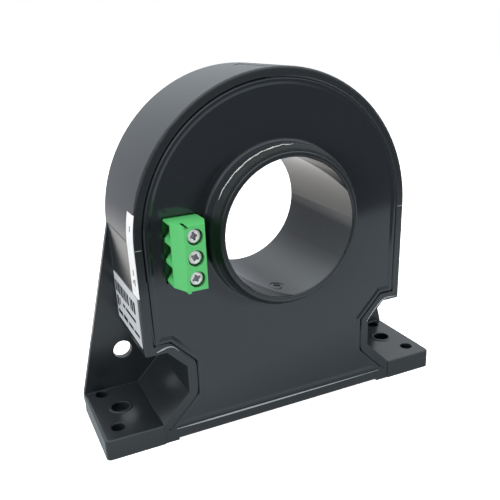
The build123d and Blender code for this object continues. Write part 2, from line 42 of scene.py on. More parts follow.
# The view is a close one from the left, a little above the middle of the sensor.
# Its place was solved from the photograph's edges, with the slight roll of a hand-held shot.
MM = 0.001
camera_place = Vector((-72.2, -152.6, 100.3)) * MM
camera_target = Vector((-2.78, -0.7, 43.3)) * MM
camera_roll = radians(-2.2)
bpy.ops.object.camera_add(location=camera_place)
camera = bpy.context.object
camera.data.sensor_width = 36.0
camera.data.lens = 46.39
camera.data.clip_start = 0.01
camera.data.clip_end = 10.0
camera.rotation_mode = "QUATERNION"
sight = (camera_target - camera_place).to_track_quat("-Z", "Y")
camera.rotation_quaternion = sight @ Quaternion((0, 0, 1), camera_roll)
bpy.context.scene.camera = camera
bpy.context.scene.view_settings.view_transform = "Standard"


# Table and surroundings: a white paper sweep in a pale cool room. The paper ends in front
# of the sensor, and glossy plastic shows the darker table past it. What gloss sees of the
# paper is painted: a large soft box's pool of light behind, and shade in front of the base.
def linear(hex_colour):
    """An sRGB hex colour as linear RGBA."""
    channels = [int(hex_colour[i:i + 2], 16) / 255 for i in (1, 3, 5)]
    return [c / 12.92 if c <= 0.04045 else ((c + 0.055) / 1.055) ** 2.4 for c in channels] + [1]


def add_node(tree, kind, inputs=None, **settings):
    """Adds a node. An input is a value, or the socket that feeds it."""
    made = tree.nodes.new(kind)
    for name, value in settings.items():
        setattr(made, name, value)
    for name, value in (inputs or {}).items():
        if isinstance(value, bpy.types.NodeSocket):
            tree.links.new(value, made.inputs[name])
        else:
            made.inputs[name].default_value = value
    return made


def new_material(name):
    """An empty node material."""
    material = bpy.data.materials.new(name)
    material.use_nodes = True
    material.node_tree.nodes.clear()
    return material, material.node_tree


def set_ramp(ramp_node, stops):
    """Gives a colour ramp its stops: a place from 0 to 1, and a linear colour."""
    elements = ramp_node.color_ramp.elements
    while len(elements) < len(stops):
        elements.new(1.0)
    for element, (place, colour) in zip(elements, stops):
        element.position = place
        element.color = (*colour, 1)


# Matt white paper: it keeps the ground clean and white, with a faint shadow under the base.
# For gloss it glows with painted light and shade instead, in bands along the paper's front
# edge, which lies a little askew.
edge_slope = 0.2505
band_front, band_back = -0.2, 0.8
paper_white, shadow_white = 0.905, 0.76
bpy.ops.mesh.primitive_plane_add(size=6.0, location=(0, 0, 0))
table_top = bpy.context.object
table_top.name = "table_top"
paper, tree = new_material("white_paper")
place = add_node(tree, "ShaderNodeTexCoord")
axes = add_node(tree, "ShaderNodeSeparateXYZ", {"Vector": place.outputs["Object"]})
slant = add_node(tree, "ShaderNodeMath", {0: axes.outputs["X"], 1: edge_slope},
                 operation="MULTIPLY")
depth = add_node(tree, "ShaderNodeMath", {0: axes.outputs["Y"], 1: slant.outputs[0]},
                 operation="ADD")
across_paper = add_node(tree, "ShaderNodeMapRange", {
    "Value": depth.outputs[0], "From Min": band_front, "From Max": band_back})
# Painted light and shade for gloss: dark past the paper's front edge, pale before the sensor,
# darker just in front of its base, a bright pool behind it, and dimmer far behind.
painted_reflection_ramp = add_node(tree, "ShaderNodeValToRGB", {"Fac": across_paper.outputs["Result"]})
set_ramp(painted_reflection_ramp, (
    (0.0, (0.06, 0.06, 0.06)), (0.062, (0.08, 0.08, 0.08)), (0.071, (0.79, 0.90, 0.98)),
    (0.125, (0.85, 0.95, 1.03)), (0.160, (0.82, 0.92, 0.98)), (0.182, (0.44, 0.51, 0.55)),
    (0.256, (0.60, 0.62, 0.63)), (0.262, (1.42, 1.39, 1.34)), (0.33, (1.32, 1.30, 1.27)),
    (0.40, (0.80, 0.81, 0.84)), (0.52, (0.50, 0.51, 0.55)), (1.0, (0.52, 0.54, 0.58))))
light_path = add_node(tree, "ShaderNodeLightPath")
seen = add_node(tree, "ShaderNodeEmission", {
    "Color": linear("#ffffff"), "Strength": paper_white})
lit = add_node(tree, "ShaderNodeBsdfDiffuse", {"Color": [shadow_white] * 3 + [1]})
# Painted reflection: for glossy rays the paper glows with these bands.
painted_reflection = add_node(tree, "ShaderNodeEmission", {"Color": painted_reflection_ramp.outputs["Color"]})
paper_body = add_node(tree, "ShaderNodeBsdfDiffuse", {"Color": linear("#a2a5a7")})
white = add_node(tree, "ShaderNodeAddShader", {0: seen.outputs[0], 1: lit.outputs[0]})
by_camera = add_node(tree, "ShaderNodeMixShader", {
    "Fac": light_path.outputs["Is Camera Ray"], 1: paper_body.outputs[0], 2: white.outputs[0]})
by_gloss = add_node(tree, "ShaderNodeMixShader", {
    "Fac": light_path.outputs["Is Glossy Ray"], 1: by_camera.outputs[0],
    2: painted_reflection.outputs[0]})
add_node(tree, "ShaderNodeOutputMaterial", {"Surface": by_gloss.outputs[0]})
table_top.data.materials.append(paper)

# The room glows faintly on the sensor. Gloss mirrors it, pale and cool, brightest well above.
room_glow_strength = 0.14
room = bpy.data.worlds.new("pale_room")
room.use_nodes = True
tree = room.node_tree
tree.nodes.clear()
direction = add_node(tree, "ShaderNodeTexCoord")
axes = add_node(tree, "ShaderNodeSeparateXYZ", {"Vector": direction.outputs["Generated"]})
height_light = add_node(tree, "ShaderNodeValToRGB", {"Fac": axes.outputs["Z"]})
set_ramp(height_light, (
    (0.0, (0.52, 0.55, 0.60)), (0.2, (0.60, 0.64, 0.68)), (0.35, (0.68, 0.72, 0.76)),
    (0.48, (0.98, 1.05, 1.10)), (0.6, (1.50, 1.62, 1.70)), (1.0, (1.20, 1.25, 1.28))))
light_path = add_node(tree, "ShaderNodeLightPath")
seen_directly = add_node(tree, "ShaderNodeMath", {
    0: light_path.outputs["Is Camera Ray"], 1: light_path.outputs["Is Transmission Ray"]},
    operation="MAXIMUM")
room_glow = add_node(tree, "ShaderNodeBackground", {
    "Color": linear("#f4f7fb"), "Strength": room_glow_strength})
room_shown = add_node(tree, "ShaderNodeBackground", {"Color": height_light.outputs["Color"]})
room_white = add_node(tree, "ShaderNodeBackground", {
    "Color": linear("#ffffff"), "Strength": 1.0})
gloss_mix = add_node(tree, "ShaderNodeMixShader", {
    "Fac": light_path.outputs["Is Glossy Ray"], 1: room_glow.outputs[0],
    2: room_shown.outputs[0]})
room_mix = add_node(tree, "ShaderNodeMixShader", {
    "Fac": seen_directly.outputs[0], 1: gloss_mix.outputs[0], 2: room_white.outputs[0]})
add_node(tree, "ShaderNodeOutputWorld", {"Surface": room_mix.outputs[0]})
bpy.context.scene.world = room

# Soft boxes light the moulding and its edges. Gloss doesn't show them.
lamp_aim = Vector((0, 0, 0.05))
for name, place, side, watts in (
        ("key_soft_box", (0.48, -0.46, 0.10), 0.18, 3.0),
        ("left_soft_box", (-0.56, -0.24, 0.18), 0.25, 2.1),
        ("top_soft_box", (-0.05, 0.0, 0.72), 0.40, 5.0),
        ("side_soft_box", (-0.60, -0.20, 0.40), 0.50, 1.5),
        ("back_soft_box", (0.10, 0.55, 0.50), 0.50, 1.6)):
    bpy.ops.object.light_add(type="AREA", location=place)
    lamp = bpy.context.object
    lamp.name = name
    lamp.data.shape = "SQUARE"
    lamp.data.size = side
    lamp.data.energy = watts
    lamp.visible_glossy = False
    lamp.rotation_mode = "QUATERNION"
    lamp.rotation_quaternion = (lamp_aim - Vector(place)).to_track_quat("-Z", "Y")


# Housing: one moulding in black ABS with a fine satin surface and softly broken edges.
# It carries faint clouding from the moulding, and handling leaves small dull spots.
def dress(names, material):
    """Gives CAD nodes a material."""
    for name in names:
        nodes[name].material_slots[0].material = material


def moulded_plastic(name, dark, pale, roughness, edge, grain, grain_depth, polished=None,
                    reflectance=0.5, painted_shade_reach=None):
    """Moulded plastic: clouded colour, uneven gloss, a fine grain and rounded edges.

    A real grain is a few hundredths of a millimetre, too fine to show here, so grain is
    drawn some tenths wide. Polished is the height of the aperture's axis, round which a
    steel core pin left the wall smoother, with the pin's radius. In hollows narrower than
    a given width, painted shade turns the colour a deep green."""
    cloud_width, speck_width = 14 * MM, 2.2 * MM
    gloss_spread = 0.08
    grain_relief, polished_relief, polished_roughness = 0.35, 0.06, 0.05
    painted_shade_green = linear("#10331a")
    material, tree = new_material(name)
    place = add_node(tree, "ShaderNodeTexCoord")
    cloud = add_node(tree, "ShaderNodeTexNoise", {
        "Vector": place.outputs["Object"], "Scale": 1 / cloud_width, "Detail": 4.0,
        "Roughness": 0.6})
    colour = add_node(tree, "ShaderNodeMix", {
        "Factor": cloud.outputs["Fac"], "A": linear(dark), "B": linear(pale)},
        data_type="RGBA")
    tint = colour.outputs["Result"]
    # Painted shade: where ambient occlusion finds the surface closed in, its colour is mixed
    # towards a deep green.
    if painted_shade_reach:
        open_to_air = add_node(tree, "ShaderNodeAmbientOcclusion", {"Distance": painted_shade_reach},
                               samples=6, only_local=True)
        openness = add_node(tree, "ShaderNodeMapRange", {
            "Value": open_to_air.outputs["AO"], "From Min": 0.3, "From Max": 0.8})
        tint = add_node(tree, "ShaderNodeMix", {
            "Factor": openness.outputs["Result"], "A": painted_shade_green, "B": tint},
            data_type="RGBA").outputs["Result"]
    speck = add_node(tree, "ShaderNodeTexNoise", {
        "Vector": place.outputs["Object"], "Scale": 1 / speck_width, "Detail": 6.0,
        "Roughness": 0.7})
    gloss = add_node(tree, "ShaderNodeMapRange", {
        "Value": speck.outputs["Fac"], "From Min": 0.3, "From Max": 0.7,
        "To Min": roughness * (1 - gloss_spread), "To Max": roughness * (1 + gloss_spread)})
    edges = add_node(tree, "ShaderNodeBevel", {"Radius": edge}, samples=6)
    texture = add_node(tree, "ShaderNodeTexNoise", {
        "Vector": place.outputs["Object"], "Scale": 1 / grain, "Detail": 2.0})
    grain_strength, shine = grain_relief, gloss.outputs["Result"]
    if polished:
        height, pin_radius = polished
        from_axis = add_node(tree, "ShaderNodeVectorMath", {
            0: place.outputs["Object"], 1: (0, 0, height)}, operation="SUBTRACT")
        flattened = add_node(tree, "ShaderNodeVectorMath", {
            0: from_axis.outputs["Vector"], 1: (1, 0, 1)}, operation="MULTIPLY")
        radius = add_node(tree, "ShaderNodeVectorMath", {
            0: flattened.outputs["Vector"]}, operation="LENGTH")
        outside = add_node(tree, "ShaderNodeMath", {
            0: radius.outputs["Value"], 1: pin_radius}, operation="GREATER_THAN")
        grain_strength = add_node(tree, "ShaderNodeMapRange", {
            "Value": outside.outputs[0], "To Min": polished_relief,
            "To Max": grain_relief}).outputs["Result"]
        shine = add_node(tree, "ShaderNodeMapRange", {
            "Value": outside.outputs[0], "To Min": polished_roughness,
            "To Max": gloss.outputs["Result"]}).outputs["Result"]
    relief = add_node(tree, "ShaderNodeBump", {
        "Strength": grain_strength, "Distance": grain_depth, "Height": texture.outputs["Fac"],
        "Normal": edges.outputs["Normal"]})
    skin = add_node(tree, "ShaderNodeBsdfPrincipled", {
        "Base Color": tint, "Roughness": shine, "IOR": 1.53,
        "Specular IOR Level": reflectance, "Normal": relief.outputs["Normal"]})
    add_node(tree, "ShaderNodeOutputMaterial", {"Surface": skin.outputs[0]})
    return material


# Satin ABS: a nearly black grey with broad soft highlights, and a shinier aperture.
axis_height = 53.9
core_pin_radius = 17.8
satin_black = moulded_plastic("satin_black_abs", "#212527", "#25282b", 0.22,
                              0.4 * MM, 0.35 * MM, 0.003 * MM,
                              polished=(axis_height * MM, core_pin_radius * MM))
dress(["housing"], satin_black)


def drawn_strand(points, widths):
    """A round strand along 5 points or more in millimetres, with its width at each."""
    bpy.ops.curve.primitive_nurbs_path_add()
    strand = bpy.context.object
    spline = strand.data.splines[0]
    spline.points.add(len(points) - len(spline.points))
    for knot, place, width in zip(spline.points, points, widths):
        knot.co = (*(Vector(place) * MM), 1)
        knot.radius = width
    spline.order_u = 4
    spline.use_endpoint_u = True
    spline.resolution_u = 4
    strand.data.bevel_depth = MM / 2
    strand.data.bevel_resolution = 2
    strand.data.use_fill_caps = True
    bpy.ops.object.convert(target="MESH")
    return strand


def seat(piece, name, material, body, angle=40):
    """Puts a new piece's place into its mesh, smooths it, and fixes it to its body."""
    bpy.ops.object.select_all(action="DESELECT")
    piece.select_set(True)
    bpy.context.view_layer.objects.active = piece
    bpy.ops.object.transform_apply(location=True, rotation=True, scale=True)
    bpy.ops.object.shade_smooth_by_angle(angle=radians(angle))
    piece.name = name
    piece.data.materials.clear()
    piece.data.materials.append(material)
    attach(piece, body)


# Gate mark: the small curl of plastic that stays where the moulding's gate was torn off.
# It is part of the housing, and lies flat on the floor of the aperture.
bore_floor = axis_height - 17.6
curl_x, curl_y = -0.9, -12.4
curl_width, curl_length = 2.3, 3.2
width_loss, length_loss = 0.11, 0.17
knot_turn, knot_count = 0.62, 14
curl = [(curl_x + (curl_width - width_loss * k) * cos(knot_turn * k),
         curl_y + (curl_length - length_loss * k) * sin(knot_turn * k),
         bore_floor) for k in range(knot_count)]
# Torn ABS: paler than the moulded skin and dull, as a stretched and broken edge is.
scar_skin = moulded_plastic("torn_abs_scar", "#4a4f52", "#767c80", 0.35,
                            0.02 * MM, 0.3 * MM, 0.01 * MM)
seat(drawn_strand(curl, [0.22 + 0.025 * k for k in range(knot_count)]),
     "gate_mark", scar_skin, "root")


# Painted highlights: thin ridges across the rim, along the sill and round the two notches,
# in a pale grey that paints the light caught along these edges. Beside them, one nub of flash
# stands on the right side, part of the housing and too fine for its solid.
# Painted highlight: a pale grey strand stands for the light caught all along a thin edge.
painted_highlight_skin = moulded_plastic("painted_edge_highlight", "#959b9f", "#aeb3b6", 0.3,
                             0.02 * MM, 0.3 * MM, 0.003 * MM)
barrel_radius = 38.3
rim_face, sill_top = -13.95, 3.5
for side, name in ((-1, "left_rim_painted_highlight"), (1, "right_rim_painted_highlight")):
    across_rim = [(side * (barrel_radius + 0.1 - 0.55 * k), rim_face, axis_height - 0.9)
                  for k in range(5)]
    seat(drawn_strand(across_rim, [0.05, 0.16, 0.2, 0.16, 0.05]), name, painted_highlight_skin,
         "root")
sill_half_length, sill_step, sill_knots = 31.5, 3, 22
along_sill = [(-sill_half_length + sill_step * k, rim_face - 0.06, sill_top - 0.1)
              for k in range(sill_knots)]
seat(drawn_strand(along_sill, [min(0.46, 0.12 + 0.1 * k, 0.08 + 0.03 * (sill_knots - 1 - k))
                               for k in range(sill_knots)]),
     "sill_painted_highlight", painted_highlight_skin, "root")
notch_lip = [(-35.0, 26.3), (-34.4, 26.5), (-33.6, 26.7), (-32.8, 26.95), (-32.1, 27.1),
             (-31.3, 27.05), (-30.4, 26.7), (-29.8, 26.0), (-29.3, 25.3)]
seat(drawn_strand([(x, rim_face, z) for x, z in notch_lip],
                  [0.1, 0.3, 0.4, 0.36, 0.32, 0.28, 0.22, 0.14, 0.04]),
     "notch_painted_highlight", painted_highlight_skin, "root")
right_edge = [(26.9, 20.3), (28.1, 21.9), (29.3, 23.2), (30.6, 24.6), (31.9, 25.9),
              (33.2, 26.35), (34.8, 26.3), (36.3, 26.2), (37.2, 26.0)]
seat(drawn_strand([(x, rim_face - 0.02, z) for x, z in right_edge],
                  [0.06, 0.18, 0.24, 0.24, 0.3, 0.34, 0.3, 0.2, 0.06]),
     "right_notch_painted_highlight", painted_highlight_skin, "root")
seat(drawn_strand([(38.1, -13.2, 45.0), (38.25, -13.25, 45.3), (38.34, -13.25, 45.6),
                   (38.3, -13.3, 46.0), (38.1, -13.3, 46.4)], [0.1, 0.3, 0.36, 0.3, 0.08]),
     "side_nub", satin_black, "root")


# Front cover: a glossier black ABS moulding, glued into the housing's rim.
# It lies flat inside the rim, and its collar stands out round the aperture.
# Glossy ABS: the pale room shows in it, with highlights a little soft from the grain.
dress(["front_cover"], moulded_plastic("glossy_black_abs", "#22262a", "#26292d", 0.1,
                                       0.3 * MM, 0.8 * MM, 0.002 * MM))


# Joint sealant: black adhesive that came up between the cover and the housing's rim.
# It leaves the joint open over the upper left of the barrel and beside the right notch.
half_joint = [(0, 3.6), (11, 3.6), (22, 3.6), (32.4, 3.6), (33.3, 3.8), (32.4, 4.65),
              (29.3, 7.75), (25.9, 11.15), (25.1, 12.4), (25.1, 16.6), (25.1, 20.8),
              (25.7, 21.95), (28.2, 24.5), (31.0, 27.5), (31.9, 27.9), (34.9, 27.9),
              (35.5, 28.5), (35.7, 36), (35.9, 45)]
joint_radius = 36.0
arch = [(joint_radius * cos(radians(angle)), axis_height + joint_radius * sin(radians(angle)))
        for angle in range(0, 100, 5)]
mirrored_half = [(-x, z) for x, z in half_joint]
around_joint = mirrored_half[::-1] + half_joint[1:] + arch
full_width, thin_width = 0.6, 0.1
joint_widths = [full_width] * (len(around_joint) - 4) + [0.5, 0.4, 0.3, 0.2]
for knot, (x, z) in enumerate(around_joint):
    if x > 25 and 20 < z < 28:
        joint_widths[knot] = thin_width
seat(drawn_strand([(x, rim_face + 0.2, z) for x, z in around_joint], joint_widths),
     "joint_sealant", satin_black, "root")


# Sealant: cured adhesive, squeezed and wiped round the step between collar and tube.
# It is a little lumpy, and a torn lip of it stands on the collar's edge.
def split_edges(piece, cuts, test):
    """Subdivides the edges whose two ends along Y, in millimetres and in order, pass a test."""
    bpy.ops.object.mode_set(mode="EDIT")
    bpy.ops.mesh.select_mode(type="EDGE")
    bpy.ops.mesh.select_all(action="DESELECT")
    bpy.ops.object.mode_set(mode="OBJECT")
    for edge in piece.data.edges:
        ends = sorted(piece.data.vertices[index].co.y / MM for index in edge.vertices)
        edge.select = test(*ends)
    bpy.ops.object.mode_set(mode="EDIT")
    bpy.ops.mesh.subdivide(number_cuts=cuts)
    bpy.ops.object.mode_set(mode="OBJECT")


def apply_modifier(piece, kind, **settings):
    """Adds a modifier to the active piece, sets it up and applies it."""
    bpy.ops.object.modifier_add(type=kind)
    modifier = piece.modifiers[-1]
    for name, value in settings.items():
        setattr(modifier, name, value)
    bpy.ops.object.modifier_apply(modifier=modifier.name)


# Cured sealant: dark and wet looking, with small broken highlights on its lumps.
sealant_skin = moulded_plastic("cured_sealant", "#141718", "#25292a", 0.34,
                               0.05 * MM, 0.9 * MM, 0.06 * MM, reflectance=0.22)
ring_back, ring_front = -17.6, -19.75
collar_edge_radius, tube_edge_radius = 20.4, 19.15
dip, dip_radius = 0.28, 20
lump_width, lump_height, ring_thickness = 1.2, 0.22, 0.8
bpy.ops.mesh.primitive_cone_add(
    vertices=220, radius1=collar_edge_radius * MM, radius2=tube_edge_radius * MM,
    depth=(ring_back - ring_front) * MM,
    end_fill_type="NOTHING", rotation=(pi / 2, 0, 0),
    location=(0, (ring_back + ring_front) / 2 * MM, axis_height * MM))
sealant_ring = bpy.context.object
bpy.ops.object.transform_apply(location=True, rotation=True, scale=True)
split_edges(sealant_ring, 9, lambda front, back: back - front > 1)
for vertex in sealant_ring.data.vertices:
    share = (ring_back - vertex.co.y / MM) / (ring_back - ring_front)
    hollow = 1 - dip * sin(pi * share) / dip_radius
    vertex.co.x *= hollow
    vertex.co.z = axis_height * MM + (vertex.co.z - axis_height * MM) * hollow
lumps = bpy.data.textures.new("sealant_lumps", "CLOUDS")
lumps.noise_scale = lump_width * MM
apply_modifier(sealant_ring, "DISPLACE", texture=lumps, strength=lump_height * MM)
apply_modifier(sealant_ring, "SOLIDIFY", thickness=ring_thickness * MM, offset=-1)
seat(sealant_ring, "sealant_ring", sealant_skin, "root")
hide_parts("sealant_bead")

# Torn sealant: stretched thin it turns pale, so the lip reads as a light thread.
draw = random.Random(7)
lip_radius, lip_depth, lip_sway = 20.42, -17.7, 0.1
lip_start, lip_step, lip_knots = 84, 1.6, 44
lip_angles = [lip_start + lip_step * k for k in range(lip_knots)]
lip = [((lip_radius + draw.uniform(-lip_sway, lip_sway)) * cos(radians(angle)),
        lip_depth + draw.uniform(-0.08, 0.08),
        axis_height + (lip_radius + draw.uniform(-lip_sway, lip_sway)) * sin(radians(angle)))
       for angle in lip_angles]
lip_widths = [draw.uniform(0.16, 0.4) * min(1, (angle - 82) / 10, (156 - angle) / 12)
              for angle in lip_angles]
seat(drawn_strand(lip, lip_widths), "sealant_lip",
     moulded_plastic("torn_sealant", "#9a9e99", "#d5d8d2", 0.3, 0.02 * MM, 0.3 * MM, 0.05 * MM),
     "root")


# Terminal block: three ways moulded as one in green polyamide. Its contacts hold it, with
# solder tails that reach the board behind the cover.
# Green polyamide: an even satin sheen, with a deep green painted shade in the narrow wire ways
# and wells.
dress(["terminal_body"], moulded_plastic("green_polyamide", "#4fb162", "#5bbd70", 0.4,
                                         0.15 * MM, 0.3 * MM, 0.006 * MM, painted_shade_reach=4.5 * MM))


# Clamping screws: zinc plated steel with a fine thread and a combined slot and cross.
# Each stands in a well of the block and lifts its cage, which presses the wire to a contact.
def plated_metal(name, colour, roughness, recess=None, metallic=1.0):
    """Plated metal with an uneven finish. Down a recess, between its two depths, the colour
    turns a violet grey: painted shade.

    The finish of a real plating is finer than a pixel here, so it is drawn 0.6 mm wide."""
    finish_width, gloss_spread = 0.6 * MM, 0.3
    worn_edge, relief_depth = 0.12 * MM, 0.02 * MM
    cloud_darkness = 0.85
    painted_recess_shade = linear("#847e8a")
    material, tree = new_material(name)
    place = add_node(tree, "ShaderNodeTexCoord")
    uneven = add_node(tree, "ShaderNodeTexNoise", {
        "Vector": place.outputs["Object"], "Scale": 1 / finish_width, "Detail": 4.0})
    gloss = add_node(tree, "ShaderNodeMapRange", {
        "Value": uneven.outputs["Fac"], "To Min": roughness * (1 - gloss_spread),
        "To Max": roughness * (1 + gloss_spread)})
    edges = add_node(tree, "ShaderNodeBevel", {"Radius": worn_edge}, samples=6)
    relief = add_node(tree, "ShaderNodeBump", {
        "Strength": 0.3, "Distance": relief_depth, "Height": uneven.outputs["Fac"],
        "Normal": edges.outputs["Normal"]})
    tone = add_node(tree, "ShaderNodeMix", {
        "Factor": uneven.outputs["Fac"], "A": linear(colour),
        "B": [cloud_darkness * channel for channel in linear(colour)[:3]] + [1]},
        data_type="RGBA")
    tint = tone.outputs["Result"]
    # Painted shade: past the recess's depths the colour is mixed towards a violet grey.
    if recess:
        axes = add_node(tree, "ShaderNodeSeparateXYZ", {"Vector": place.outputs["Object"]})
        depth = add_node(tree, "ShaderNodeMapRange", {
            "Value": axes.outputs["Y"], "From Min": recess[0], "From Max": recess[1]})
        tint = add_node(tree, "ShaderNodeMix", {
            "Factor": depth.outputs["Result"], "A": tint, "B": painted_recess_shade},
            data_type="RGBA").outputs["Result"]
    skin = add_node(tree, "ShaderNodeBsdfPrincipled", {
        "Base Color": tint, "Metallic": metallic, "Roughness": gloss.outputs["Result"],
        "Normal": relief.outputs["Normal"]})
    add_node(tree, "ShaderNodeOutputMaterial", {"Surface": skin.outputs[0]})
    return material


def pick(piece, test):
    """Selects, in edit mode, the vertices whose place in millimetres passes a test."""
    bpy.ops.object.mode_set(mode="EDIT")
    bpy.ops.mesh.select_mode(type="VERT")
    bpy.ops.mesh.select_all(action="DESELECT")
    bpy.ops.object.mode_set(mode="OBJECT")
    for vertex in piece.data.vertices:
        vertex.select = test(vertex.co / MM)
    bpy.ops.object.mode_set(mode="EDIT")


def cut(piece, cutter):
    """Cuts a shape out of a piece and removes the cutter."""
    bpy.ops.object.select_all(action="DESELECT")
    bpy.context.view_layer.objects.active = piece
    apply_modifier(piece, "BOOLEAN", object=cutter)
    bpy.data.objects.remove(cutter)


ways = (1, 2, 3)
way_height = 56.98
way_pitch = 5.08
screw_x = -26.2
head_front, head_back, tip = -21.95, -20.55, -17.4
head_radius, head_rounding, shank_radius = 1.72, 0.4, 1.2
thread_pitch, thread_depth = 0.45, 0.22

bpy.ops.mesh.primitive_cylinder_add(
    vertices=48, radius=head_radius * MM, depth=(head_back - head_front) * MM,
    location=(screw_x * MM, (head_front + head_back) / 2 * MM, way_height * MM),
    rotation=(pi / 2, 0, 0))
screw = bpy.context.object
bpy.ops.object.transform_apply(location=True, rotation=True, scale=True)
pick(screw, lambda place: place.y > head_back - 0.01)
bpy.ops.mesh.inset(thickness=(head_radius - shank_radius) * MM)
bpy.ops.mesh.extrude_region_move(
    TRANSFORM_OT_translate={"value": (0, (tip - head_back) * MM, 0)})
pick(screw, lambda place: place.y < head_front + 0.01)
bpy.ops.mesh.bevel(offset=head_rounding * MM, segments=6, affect="EDGES")
split_edges(screw, 34, lambda front, back:
            front < head_back + 0.01 and back > tip - 0.01 and back - front > 1)
# The thread: the shank's radius rises and falls once in each pitch and each turn.
for vertex in screw.data.vertices:
    along = vertex.co.y / MM
    if head_back + 0.1 < along < tip - 0.05:
        turn = atan2(vertex.co.z - way_height * MM, vertex.co.x - screw_x * MM) / (2 * pi)
        phase = (along / thread_pitch + turn) % 1
        shrink = 1 - thread_depth / shank_radius * abs(2 * phase - 1)
        vertex.co.x = screw_x * MM + (vertex.co.x - screw_x * MM) * shrink
        vertex.co.z = way_height * MM + (vertex.co.z - way_height * MM) * shrink
slot_size, cross_size, flare_size = (2.7, 0.7, 0.5), (0.7, 2.2, 0.45), (1.5, 1.4, 0.4)
recess_taper = 0.7
for length, width, depth in (slot_size, cross_size, flare_size):
    bpy.ops.mesh.primitive_cube_add(
        size=1, location=(screw_x * MM, head_front * MM, way_height * MM),
        scale=(length * MM, 2 * depth * MM, width * MM))
    recess = bpy.context.object
    bpy.ops.object.transform_apply(location=True, rotation=True, scale=True)
    pick(recess, lambda place: place.y > head_front)
    bpy.ops.transform.resize(value=(recess_taper, 1, recess_taper), center_override=(
        screw_x * MM, (head_front + depth) * MM, way_height * MM))
    bpy.ops.object.mode_set(mode="OBJECT")
    cut(screw, recess)

# Zinc plate: a bright, slightly milky grey, with a violet grey painted shade down in the recess.
zinc = plated_metal("zinc_plate", "#fdfffd", 0.34, metallic=0.2,
                    recess=((head_front + 0.15) * MM, (head_front + 0.4) * MM))
screw_turns = (80, 25, -20)
for number, turned in zip(ways, screw_turns):
    twin = screw.copy()
    twin.data = screw.data.copy()
    bpy.context.collection.objects.link(twin)
    centre = Vector((screw_x, 0, way_height)) * MM
    drop = Vector((0, 0, -way_pitch * (number - 1))) * MM
    twin.matrix_world = (Matrix.Translation(centre + drop)
                         @ Matrix.Rotation(radians(turned), 4, "Y")
                         @ Matrix.Translation(-centre))
    seat(twin, f"clamp_screw_{number}", zinc, f"screw_{number}", 30)
    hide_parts(f"terminal_screw_{number}")
bpy.data.objects.remove(screw)

# Nickel plate on the cages has a warm grey shine, and bright tin on the contacts a paler one.
dress([f"terminal_cage_{n}" for n in ways], plated_metal("nickel_plate", "#b9b4a8", 0.3))
dress([f"terminal_pin_{n}" for n in ways], plated_metal("bright_tin", "#c6c4bd", 0.25))


# Side label: a silvered polyester film, stuck on the left wall and printed in black with
# a row of plain bars and a few rules.
# Silvered film: a soft grey sheen. Printed ink: a dry near-black that takes no highlight.
dress(["side_label"], moulded_plastic("silvered_film", "#bdc2c7", "#cfd2d4", 0.36,
                                      0.05 * MM, 0.4 * MM, 0.01 * MM))
ink = moulded_plastic("printed_ink", "#07080a", "#15171a", 0.8, 0.01 * MM, 0.3 * MM, 0.01 * MM,
                      reflectance=0.08)
# Below the aperture's axis the left wall leans in by half a millimetre over its height.
wall_lean = 0.5 / 28.3
bar_low, bar_high = 35.2, 38.4
bars = [(10.0, 8.9), (8.5, 7.8), (7.3, 5.9), (5.4, 4.7), (4.2, 2.8), (2.3, 1.6), (1.1, -0.1),
        (-0.6, -1.3), (-1.8, -3.1), (-4.6, -5.4), (-5.9, -7.2), (-7.8, -9.2)]
rules = [(9.9, 8.2, 31.0, 34.0), (7.4, 6.5, 32.0, 33.8), (3.8, 1.8, 32.6, 33.5),
         (1.0, -8.4, 32.6, 33.4), (9.8, 5.4, 28.9, 30.0), (4.4, 0.4, 29.0, 30.2),
         (-0.8, -5.0, 29.2, 30.1), (-6.0, -10.6, 29.3, 30.1)]
print_lift, print_thickness = 0.12, 0.05
bpy.ops.mesh.primitive_plane_add(size=0.1 * MM, location=(-37.9 * MM, 0, 37 * MM))
label_print = bpy.context.object
bpy.ops.object.transform_apply(location=True, rotation=True, scale=True)
bpy.ops.object.mode_set(mode="EDIT")
bpy.ops.mesh.delete(type="VERT")
for back, front, low, high in [(*bar, bar_low, bar_high) for bar in bars] + rules:
    middle = (low + high) / 2
    wall_x = -barrel_radius + wall_lean * (axis_height - middle) - print_lift
    bpy.ops.mesh.primitive_cube_add(
        size=1, location=(wall_x * MM, (back + front) / 2 * MM, middle * MM),
        rotation=(0, -wall_lean, 0),
        scale=(print_thickness * MM, (back - front) * MM, (high - low) * MM))
bpy.ops.object.mode_set(mode="OBJECT")
seat(label_print, "label_rules", ink, "root")


# Seal: a white coated paper strip on the left wall, folded round the front edge.
# It follows the wall and the start of the barrel, with a few rubbed grey marks.
# Coated paper: a plain bright white with next to no shine.
paper_seal = moulded_plastic("coated_paper", "#dedfe0", "#eaebec", 0.5,
                             0.05 * MM, 0.4 * MM, 0.01 * MM)
seal_back, seal_low, seal_high = -9.2, 41.0, 61.6
edge_radius, paper_lift, paper_thickness, fold = 0.6, 0.12, 0.09, -0.4
flat_run = seal_back - (rim_face + edge_radius)
bend_run = edge_radius * pi / 2
bpy.ops.mesh.primitive_grid_add(x_subdivisions=28, y_subdivisions=22, size=2)
seal = bpy.context.object
